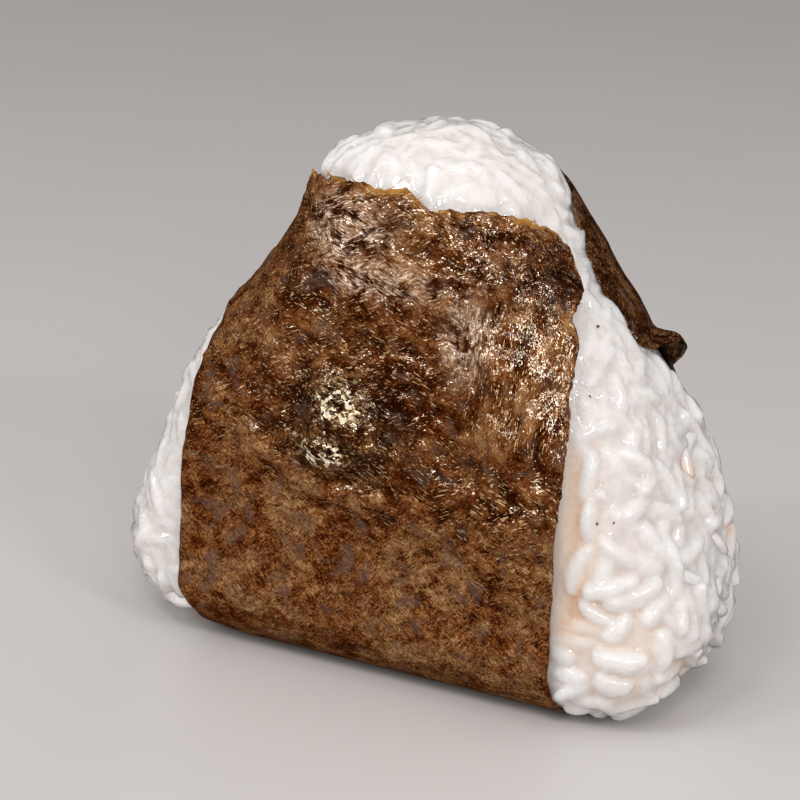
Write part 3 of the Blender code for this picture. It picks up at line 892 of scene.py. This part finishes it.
def scatter_tree():
    """Geometry nodes: whole grains laid at random on a surface, each pressed in by its own amount."""
    group = bpy.data.node_groups.new("scatter grains", "GeometryNodeTree")
    group.interface.new_socket("Geometry", in_out="OUTPUT", socket_type="NodeSocketGeometry")
    add = Wire(group).node
    for name, kind in (
        ("Surface", "Geometry"),
        ("Straight Grain", "Object"),
        ("Bent Grain", "Object"),
        ("Plump Grain", "Object"),
        ("Spacing", "Float"),
        ("Density", "Float"),
        ("Tilt", "Float"),
        ("Level", "Float"),
        ("Level Spread", "Float"),
        ("Smallest", "Float"),
        ("Largest", "Float"),
        ("Seed", "Int"),
        ("Keep Surface", "Bool"),
        ("Finish", "Material"),
    ):
        group.interface.new_socket(name, in_out="INPUT", socket_type="NodeSocket" + kind)
    entry = group.nodes.new("NodeGroupInput")

    def given(name):
        return Wire(group, entry.outputs[name])

    def named(name):
        return add("GeometryNodeInputNamedAttribute", {"data_type": "FLOAT"}, {"Name": name})

    def random_value(low, high, salt):
        sockets = {2: low, 3: high, "Seed": given("Seed") + salt}
        return add("FunctionNodeRandomValue", {"data_type": "FLOAT"}, sockets, output=1)

    spread = {"distribute_method": "POISSON", "use_legacy_normal": False}
    points = add("GeometryNodeDistributePointsOnFaces", spread, {
        "Mesh": given("Surface"),
        "Distance Min": given("Spacing"),
        "Density Max": given("Density"),
        "Density Factor": named("room"),
        "Seed": given("Seed"),
    })
    normal = points.beside("Normal")
    apart = named("apart")

    def turned(rotation, axis, angle):
        turn = add("FunctionNodeAxisAngleToRotation", {}, {"Axis": axis, "Angle": angle})
        sockets = {"Rotation": rotation, "Rotate By": turn}
        return add("FunctionNodeRotateRotation", {"rotation_space": "LOCAL"}, sockets)

    rotation = add("FunctionNodeAlignRotationToVector", {"axis": "Z"}, {"Vector": normal})
    rotation = turned(rotation, (0, 0, 1), random_value(0.0, 2 * math.pi, 11))
    tilt = given("Tilt") * (apart * 0.8 + 0.2)
    rotation = turned(rotation, (0, 1, 0), random_value(-1.0, 1.0, 23) * tilt)
    rotation = turned(rotation, (1, 0, 0), random_value(-1.5, 1.5, 31))

    spread_out = random_value(-1.0, 1.0, 41) * given("Level Spread") * (apart * 0.8 + 0.2)
    level = given("Level") + spread_out - named("sunk")
    lift = add("ShaderNodeVectorMath", {"operation": "SCALE"}, {0: normal, "Scale": level})
    placed = add("GeometryNodeSetPosition", {}, {"Geometry": points, "Offset": lift})

    kinds = group.nodes.new("GeometryNodeJoinGeometry")
    for name in ("Plump Grain", "Bent Grain", "Straight Grain"):
        source = add("GeometryNodeObjectInfo", {"transform_space": "ORIGINAL"}, {
            "Object": given(name),
            "As Instance": True,
        }, output="Geometry")
        group.links.new(source.socket, kinds.inputs[0])
    sockets = {4: 0, 5: 2, "Seed": given("Seed") + 53}
    kind = add("FunctionNodeRandomValue", {"data_type": "INT"}, sockets, output=2)
    size = random_value(given("Smallest"), given("Largest"), 61)
    width = random_value(0.88, 1.1, 67)
    scale = add("ShaderNodeCombineXYZ", {}, {"X": size, "Y": size * width, "Z": size})
    grains = add("GeometryNodeInstanceOnPoints", {}, {
        "Points": placed,
        "Instance": Wire(group, kinds.outputs[0]),
        "Pick Instance": True,
        "Instance Index": kind,
        "Rotation": rotation,
        "Scale": scale,
    })
    toned = add("GeometryNodeStoreNamedAttribute", {"data_type": "FLOAT", "domain": "INSTANCE"}, {
        "Geometry": grains,
        "Name": "tone",
        "Value": random_value(0.0, 1.0, 71),
    })
    real = add("GeometryNodeRealizeInstances", {}, {"Geometry": toned})
    kept = add("GeometryNodeSwitch", {"input_type": "GEOMETRY"}, {
        "Switch": given("Keep Surface"),
        "True": given("Surface"),
    })
    whole = group.nodes.new("GeometryNodeJoinGeometry")
    for part in (real, kept):
        group.links.new(part.socket, whole.inputs[0])
    smooth = add("GeometryNodeSetShadeSmooth", {}, {"Geometry": Wire(group, whole.outputs[0])})
    painted = add("GeometryNodeSetMaterial", {}, {"Geometry": smooth, "Material": given("Finish")})
    leave = group.nodes.new("NodeGroupOutput")
    group.links.new(painted.socket, leave.inputs[0])
    return group


def scatter(made, group, values):
    """Give an object the scatter tree with its inputs set by their names."""
    modifier = made.modifiers.new("grains", "NODES")
    modifier.node_group = group
    for item in group.interface.items_tree:
        if item.in_out == "INPUT" and item.name in values:
            modifier[item.identifier] = values[item.name]
    return modifier


def rest_on_floor(mesh, lowest=0.0):
    """Flatten what would pass through the floor."""
    points = np.empty(len(mesh.vertices) * 3)
    mesh.vertices.foreach_get("co", points)
    points = points.reshape(-1, 3)
    points[:, 2] = np.maximum(points[:, 2], lowest)
    mesh.vertices.foreach_set("co", points.ravel())


def shaded_gap(points, bare):
    """From 0 to 1 in the gap between the strip's right edge and the first grains beside it."""
    x, y, z = points.T
    gap = smooth_step(4.5, 1.5, bare) * smooth_step(10, 14, z) * smooth_step(34, 28, z)
    return gap * smooth_step(20, 24, x) * smooth_step(6, 0, y)


def build_mass(finish, group, kinds, skin):
    """The core, with the proud grains of the table and scattered ones fused into its skin."""
    points, outward, faces = skin.points, skin.outward, skin.faces
    proud, proud_faces = skin.proud
    height = points[:, 2]
    dome = 0.7 * smooth_step(55, 62, height)
    feet = 0.5 * smooth_step(22, 8, height)
    level = skin.shown * (skin.lumps + 0.45 + dome - feet - 0.5 * skin.apart - 0.6 * skin.sunk)
    core = points + outward * (level + (1 - skin.shown) * 0.25)[:, None]
    core[:, 2] = np.maximum(core[:, 2], np.where(skin.shown > 0.02, *CORE_LOWEST))
    proud_faces = [tuple(len(core) + corner for corner in face) for face in proud_faces]
    mesh = new_mesh("rice_mass", in_part(np.concatenate([core, proud])), faces + proud_faces)
    at_back = smooth_step(3, 9, points[:, 1])
    room = smooth_step(-0.6, 0.2, skin.bare - 2.2 * skin.gap - 2.4 * at_back) * skin.clear
    store(mesh, **{name: np.concatenate([values, np.zeros(len(proud))]) for name, values in (
        ("room", room), ("apart", skin.apart), ("sunk", skin.sunk * MM))})
    mass = make_object("rice_mass", mesh, finish)
    scatter(mass, group, {**kinds, **PRESSED_GRAINS, "Finish": finish})
    fuse = mass.modifiers.new("fuse", "REMESH")
    fuse.mode = "VOXEL"
    fuse.voxel_size = VOXEL * MM
    fuse.use_smooth_shade = True
    soften = mass.modifiers.new("soften", "SMOOTH")
    soften.factor = 0.5
    soften.iterations = 2
    thin = mass.modifiers.new("thin", "DECIMATE")
    thin.ratio = KEPT_FACES
    return mass


def build_grains(finish, group, kinds, skin):
    """Whole grains that lie loose on the mass, most of them at the lower right."""
    carrier = skin.points + skin.outward * (skin.lumps * skin.shown)[:, None]
    mesh = new_mesh("rice_grains", in_part(carrier), skin.faces)
    at_back = smooth_step(3, 9, skin.points[:, 1])
    rare = smooth_step(1.6, 3.0, skin.bare - 2.2 * at_back)
    rare = rare * (0.15 + 0.85 * smooth_step(0.5, 0.95, skin.apart))
    store(mesh, room=rare * skin.clear, apart=skin.apart, sunk=skin.sunk * MM)
    grains = make_object("rice_grains", mesh, finish)
    scatter(grains, group, {**kinds, **LOOSE_GRAINS, "Finish": finish})
    return grains


def mark_rice(piece, plain, blush_share):
    """Store where a piece is painted with warm shade, deep between the grains and in the gap beside the
    strip, and where it has a pink spot.
    """
    points = np.empty(len(piece.data.vertices) * 3)
    piece.data.vertices.foreach_get("co", points)
    points = points.reshape(-1, 3) / MM - BALL_PLACE
    height = np.empty(len(points))
    for index, point in enumerate(points):
        near, facing, _, _ = plain.find_nearest(Vector(point))
        height[index] = (Vector(point) - near).dot(facing)
    blush = np.zeros(len(points))
    for place, spread in BLUSHES:
        blush = np.maximum(blush, blush_share * np.exp(-((away_from(points, place) / spread) ** 2)))
    start, end = np.array(GAP)
    along = along_line(points, start, end)
    from_gap = away_from(points, start + along[:, None] * (end - start))
    # painted shade: warmer the deeper a point lies, and along the gap beside the strip
    crevice = smooth_step(0.3, -0.7, height) * 0.45
    crevice = crevice + smooth_step(0.9, 0.0, height) * np.exp(-((from_gap / 3) ** 2))
    store(piece.data, crevice=crevice, blush=blush)


def build_rice(fused_finish, grain_finish):
    points, outward, bare, faces = rice_surface()
    points = points + outward * hand_rise(points)[:, None]
    skin = SimpleNamespace(points=points, outward=outward, bare=bare, faces=faces)
    skin.apart = distinctness(points)
    skin.lumps = LUMP_RELIEF * soft_noise(points, LUMP_SIZE, LUMP_SEED)
    skin.shown = smooth_step(0.3, 2.2, bare)
    skin.gap = shaded_gap(points, bare)
    skin.sunk = 0.35 * smooth_step(3.0, 0.5, bare) + 0.6 * skin.gap
    skin.sunk = skin.sunk - 0.25 * smooth_step(0.6, 1.0, skin.apart) + 0.2 * smooth_step(52, 60, points[:, 2])
    plain = BVHTree.FromPolygons([tuple(point) for point in points], faces)
    *skin.proud, lines = proud_grains(plain)
    from_proud = np.linalg.norm(points[:, None] - lines[None], axis=2).min(axis=1)
    skin.clear = smooth_step(1.0, 3.0, from_proud)

    kinds = {name: make_object(name, grain_mesh(name, bend, taper)) for name, bend, taper in GRAIN_KINDS}
    group = scatter_tree()
    pieces = build_mass(fused_finish, group, kinds, skin), build_grains(grain_finish, group, kinds, skin)
    for piece, share in zip(pieces, BLUSH_SHARES):
        finished(piece)
        rest_on_floor(piece.data)
        mark_rice(piece, plain, share)
    for kind in kinds.values():
        bpy.data.objects.remove(kind)
    return pieces


# ---------------------------------------------------------------------------------------------------
# The seaweed strip.


def ridged(points, size, seed):
    """Sharp crests, 1 along their tops, about `size` apart."""
    return 1 - np.abs(soft_noise(points, size, seed)) * 2


def on_bulge(spots):
    """From 0 to 1 on the round bulge of the front panel."""
    return np.exp(-((away_from(spots, BULGE) / BULGE_RADIUS) ** 4))


def crumpled(spots, back):
    """From 0, drawn smooth over the rice, to 1, creased all over."""
    if back:
        return np.full(len(spots), BACK_CRUMPLED)
    across, height = spots.T
    upper = smooth_step(17, 32, height) * (0.45 + 0.55 * smooth_step(-23, -8, across))
    right = smooth_step(6, 18, across) * smooth_step(9, 20, height)
    return np.clip(0.1 + 0.8 * upper + 0.35 * right + 0.4 * on_bulge(spots), 0, 1)


def spotted(spots, places):
    """From 0 to 1 within any of the oval places of the flat plan."""
    share = np.zeros(len(spots))
    for place, spread in places:
        away = np.linalg.norm((spots - np.array(place)) / np.array(spread), axis=1)
        share = np.maximum(share, np.exp(-(away**4)))
    return share


def on_fold(spots):
    """From 0 to 1 where the strip turns round the ball's right side in upright creases."""
    across, height = spots.T
    start, low, high = STREAK_ZONE
    return smooth_step(*start, across) * smooth_step(*low, height) * smooth_step(*high[::-1], height)


def front_creases(spots):
    """The sagging crease below the bulge, and the upright creases of the right fold."""
    start, end = np.array(CREASE, float)
    along = along_line(spots, start, end)
    sag = CREASE_SAG * np.sin(np.pi * along)
    line = start + (end - start) * along[:, None] - np.column_stack([0 * sag, sag])
    crease = CREASE_RISE * np.exp(-((away_from(spots, line) / CREASE_WIDTH) ** 2))
    width, length, rise = STREAKS
    stretched = np.column_stack([spots[:, 0], 0 * spots[:, 0], spots[:, 1] * width / length])
    return crease, rise * on_fold(spots) * ridged(stretched, width, STREAK_SEED)


def strip_rise(spots, points, back):
    """How far the strip stands off the rice, and the share of that which is its own relief."""
    standing = smooth_step(*TIGHT_BELOW, points[:, 2])
    share = crumpled(spots, back)
    folds = sum(rise * (0.5 + 0.5 * soft_noise(points, size, seed)) for size, rise, seed in FOLDS)
    flowing = points / np.array([FLOW, FLOW, 1])
    crumples = sum(rise * ridged(flowing, size, seed) for size, rise, seed in CRUMPLES)
    relief = folds * (0.3 + 0.7 * share) + crumples * share
    to_edge = strip_right(spots[:, 1], back) - spots[:, 0]
    if back:
        across, low, high = FLAP_ZONE
        flap = FLAP_LIFT * smooth_step(*across, spots[:, 0])
        flap = flap * smooth_step(*low, spots[:, 1]) * smooth_step(*high, spots[:, 1])
        relief = relief * (BACK_RELIEF * (0.3 + 0.7 * smooth_step(1, 8, to_edge)))
        return standing * (relief + flap), relief
    crease, streaks = front_creases(spots)
    relief = relief + crease + streaks
    edge = EDGE_LIFT * smooth_step(EDGE_LIFT_WIDTH, 0, to_edge)
    return standing * (relief + BULGE_RISE * on_bulge(spots) + edge), relief


def strip_panel(count, back, edge, lowest):
    """One panel of the strip in rows from the middle of the base up: its points, then its marks."""
    across = np.linspace(0, 1, STRIP_COLUMNS + 1)
    top = strip_top(across, back)
    spots = []
    for row in range(count + 1):
        height = lowest + (top - lowest) * row / count
        left, right = strip_left(height), strip_right(height, back)
        side = torn(height, SIDE_TEARS, SIDE_SEED + back) * abs(2 * across - 1) ** 8
        spots.append(np.column_stack([left + (right - left) * across + side, height]))
    spots = np.concatenate(spots)
    laid, outward = wrap(spots, edge, back)
    rise, relief = strip_rise(spots, laid, back)
    points = laid + outward * (hand_rise(laid) + STRIP_INSIDE + rise)[:, None]

    to_end = np.tile(top, count + 1) - spots[:, 1]
    # the torn end is painted gold for light shining through it, in stretches
    fringe = smooth_step(*FRINGE_WIDTH, to_end) * smooth_step(-0.2, 0.25, soft_noise(laid, *FRINGE_PATCHES))
    fringe = fringe * (BACK_FRINGE if back else 1)
    # painted sheen, places that catch the light, crumpled flats with painted glints, and painted shade
    bloom, shine, foil, shade = (
        spotted(spots, () if back else places) for places in (PAINTED_SHEEN_PATCHES, SHINES, FOILS, SHADES))
    # the back panel is painted darker all over, as painted shade
    shade = shade + BACK_SHADE * back
    shape = (count + 1, STRIP_COLUMNS + 1)
    # the relief against its neighbourhood, which paints shade into the hollows and light onto the crests
    table = relief.reshape(shape)
    moves = (-HOLLOW_STEPS, 0, HOLLOW_STEPS)
    around = sum(np.roll(table, (down, right), (0, 1)) for down in moves for right in moves) / 9
    hollow = np.clip(table - around, -HOLLOW_MOST, HOLLOW_MOST)
    upright = np.zeros(len(spots)) if back else on_fold(spots)
    marks = (points, fringe, crumpled(spots, back), bloom, shine, foil, shade, hollow, upright)
    return (values.reshape(*shape, -1) for values in marks)


def build_nori(finish):
    edge = flat_edge(OUTLINE_SAMPLES)
    lowest = BASE_ROUND[0] - middle_reach(np.zeros((1, 2)), [np.array([radius]) for radius in BASE_ROUND])[0]
    front, back = (strip_panel(count, back, edge, lowest) for count, back in (
        (FRONT_ROWS, False), (BACK_ROWS, True)))
    points, *marks = (np.concatenate([a[::-1], b[1:]]) for a, b in zip(front, back))
    mesh = new_mesh("nori_sheet", in_part(points.reshape(-1, 3)), grid_faces(*points.shape[:2]))
    store(mesh, **{name: values.ravel() for name, values in zip(STRIP_MARKS, marks)})
    sheet = make_object("nori_sheet", mesh, finish)
    thicken = sheet.modifiers.new("thickness", "SOLIDIFY")
    thicken.thickness = STRIP_THICKNESS * MM
    thicken.offset = 1
    finished(sheet)
    rest_on_floor(sheet.data)
    return sheet


CRUMBS = (  # middle and radius
    ((23.5, -6.3, 47), 0.3),
    ((26, -11.4, 40.3), 0.25),
    ((28.6, -15, 26.2), 0.3),
    ((31, -13.2, 26.3), 0.25),
)
CRUMB_CORNERS = 7
FRAY_SEED = 11
FRAYS = 60
FRAY_LENGTH = (0.5, 1.5)
FRAY_RADIUS = 0.10
FRAY_STEPS = 6
FRAY_ROOT = 0.3  # a fibre starts this far below the torn end
FRAY_RISE = 0.2  # and this far above the underside of the strip
LONG_FRAY = (0.50, 0.15, 2.8, 0.8)  # the longest: its place across, heading, length and bend
FRAYS_ABOVE = 55


def tube(path, radius):
    """A closed three-sided thread along a path, thinner towards its end."""
    ahead = unit_rows(np.gradient(path, axis=0))
    side = unit_rows(np.cross(ahead, (0.3, 0.9, 0.2)))
    across = np.cross(ahead, side)
    thin = (radius * np.linspace(1, 0.35, len(path)))[:, None]
    turns = [2 * math.pi * step / 3 for step in range(3)]
    threads = [path + thin * (side * math.cos(turn) + across * math.sin(turn)) for turn in turns]
    last = 3 * (len(path) - 1)
    faces = grid_faces(len(path), 3, closed=True) + [(0, 1, 2), (last + 2, last + 1, last)]
    return np.stack(threads, axis=1).reshape(-1, 3), faces


def fray(share, rng, edge):
    """One fibre that frays from the strip's torn front end."""
    across = STRIP_LEFT + (STRIP_RIGHT - STRIP_LEFT) * share
    root = np.array([across, strip_top(np.array([share]), False)[0] - FRAY_ROOT])
    heading = math.radians(rng.choice((14, 166)) + rng.uniform(-22, 22))
    length = rng.uniform(*FRAY_LENGTH)
    bend = rng.uniform(-0.9, 0.9)
    if share == LONG_FRAY[0]:
        _, heading, length, bend = LONG_FRAY
    steps = np.linspace(0, 1, FRAY_STEPS)
    turns = heading + bend * steps
    walk = np.cumsum(np.column_stack([np.cos(turns), np.sin(turns)]), axis=0) * length / FRAY_STEPS
    laid, outward = wrap(root + walk, edge, False)
    lift = STRIP_INSIDE + FRAY_RISE + rng.uniform(0, 0.5) * steps
    rise, _ = strip_rise(np.tile(root, (FRAY_STEPS, 1)), laid, False)
    return tube(laid + outward * (hand_rise(laid) + rise + lift)[:, None], FRAY_RADIUS)


def crumb(middle, radius, rng, surface):
    """One crumb of the strip that lies on the rice."""
    place, facing, _, _ = surface.find_nearest(Vector(in_part(middle)))
    place = np.array(place) / MM - BALL_PLACE + np.array(facing) * radius * 0.2
    corners = unit_rows(rng.normal(size=(CRUMB_CORNERS, 3)))
    corners = corners * radius * rng.uniform(0.7, 1.2, (CRUMB_CORNERS, 1))
    hull = bmesh.new()
    for corner in corners:
        hull.verts.new(place + corner)
    bmesh.ops.convex_hull(hull, input=hull.verts)
    hull.verts.index_update()
    points = np.array([vertex.co for vertex in hull.verts])
    faces = [[vertex.index for vertex in face.verts] for face in hull.faces]
    hull.free()
    return points, faces


def build_bits(finish, mass):
    edge = flat_edge(OUTLINE_SAMPLES)
    rng = np.random.default_rng(FRAY_SEED)
    points, faces = [], []

    def add(new_points, new_faces):
        first = sum(map(len, points))
        faces.extend(tuple(first + corner for corner in face) for face in new_faces)
        points.append(new_points)

    for share in [LONG_FRAY[0], *np.sort(rng.uniform(0.06, 0.93, FRAYS))]:
        add(*fray(share, rng, edge))
    surface = BVHTree.FromPolygons([vertex.co[:] for vertex in mass.data.vertices],
                                   [tuple(polygon.vertices) for polygon in mass.data.polygons])
    for middle, radius in CRUMBS:
        add(*crumb(middle, radius, rng, surface))
    points = np.concatenate(points)
    mesh = new_mesh("nori_bits", in_part(points), faces)
    mesh.shade_flat()
    # fibres above this height are painted gold for light shining through them
    fringe = np.where(points[:, 2] > FRAYS_ABOVE, 1.0, 0.1)
    store(mesh, fringe=fringe, gloss=np.full(len(points), 0.3))
    return make_object("nori_bits", mesh, finish)


# ---------------------------------------------------------------------------------------------------
# Camera, floor and light.

AIM = Vector((-4.256, -1.905, 33.083)) * MM
CAMERA_DISTANCE = 328.2 * MM
CAMERA_AZIMUTH = 28.277
CAMERA_ELEVATION = 17.048
CAMERA_ROLL = math.radians(2.143)
CAMERA_LENS = 115.42
FLOOR_SIZE = 4000 * MM
LAMP_AIM = Vector((0, 0, 35)) * MM
LAMP_COLOUR = (1.0, 0.99, 0.975)
LAMPS = (  # name, azimuth, elevation, distance, size, power
    ("front left", -27, 38, 0.8, 0.14, 0.88),
    ("front top", -4, 52, 0.8, 0.14, 0.75),
    ("left", -52, 24, 0.8, 0.14, 0.55),
    ("right", 38, 20, 0.8, 0.14, 1.0),
    ("right top", 26, 42, 0.8, 0.14, 0.75),
    ("far right", 62, 30, 0.8, 0.14, 1.15),
    ("top", 40, 78, 1.0, 0.9, 1.3),
)
ROOM_COLOUR = (1.0, 0.98, 0.96, 1)
ROOM_STRENGTH = 0.57


def aimed(name, data, aim, azimuth, elevation, distance):
    """Place a camera or a lamp so that it looks at a point; the azimuth runs from the front to the right."""
    azimuth, elevation = math.radians(azimuth), math.radians(elevation)
    back = Vector((
        math.sin(azimuth) * math.cos(elevation),
        -math.cos(azimuth) * math.cos(elevation),
        math.sin(elevation),
    ))
    made = bpy.data.objects.new(name, data)
    bpy.context.scene.collection.objects.link(made)
    made.location = aim + back * distance
    made.rotation_mode = "QUATERNION"
    made.rotation_quaternion = (-back).to_track_quat("-Z", "Y")
    return made


def build_camera():
    data = bpy.data.cameras.new("camera")
    data.lens = CAMERA_LENS
    data.sensor_width = 36
    data.clip_start = 0.01
    data.clip_end = 20
    camera = aimed("camera", data, AIM, CAMERA_AZIMUTH, CAMERA_ELEVATION, CAMERA_DISTANCE)
    camera.rotation_quaternion = camera.rotation_quaternion @ Quaternion((0, 0, 1), CAMERA_ROLL)
    bpy.context.scene.camera = camera


def build_floor():
    corners = [(side * FLOOR_SIZE, end * FLOOR_SIZE, 0) for side, end in ((-1, -1), (1, -1), (1, 1), (-1, 1))]
    floor = make_object("floor", new_mesh("floor", corners, [(0, 1, 2, 3)]), floor_material())
    floor.visible_glossy = False


def build_light():
    for name, azimuth, elevation, distance, size, power in LAMPS:
        data = bpy.data.lights.new(name, "AREA")
        data.shape = "SQUARE"
        data.size = size
        data.energy = power
        data.color = LAMP_COLOUR
        aimed(name, data, LAMP_AIM, azimuth, elevation, distance)
    world = bpy.data.worlds.new("room")
    bpy.context.scene.world = world
    world.use_nodes = True
    world.cycles_visibility.glossy = False
    sky = world.node_tree.nodes["Background"]
    sky.inputs["Color"].default_value = ROOM_COLOUR
    sky.inputs["Strength"].default_value = ROOM_STRENGTH
    bpy.context.scene.view_settings.view_transform = "Standard"


# ---------------------------------------------------------------------------------------------------
# The onigiri, put together.

rice_finish = rice_material("steamed rice", 0.8, 1.0, (1.0, 0.92, 0.88), 6.0)
grain_finish = rice_material("steamed rice grain", 0.7, 0.35, (1.0, 0.94, 0.90), 1.2)
nori_finish = nori_material("dried seaweed")
mass, grains = build_rice(rice_finish, grain_finish)
sheet = build_nori(nori_finish)
for piece in (mass, grains):
    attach(piece, "root")
    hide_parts("rice_ball")
for piece in (sheet, build_bits(nori_finish, mass)):
    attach(piece, "root")
    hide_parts("nori_wrap")
build_floor()
build_light()
build_camera()
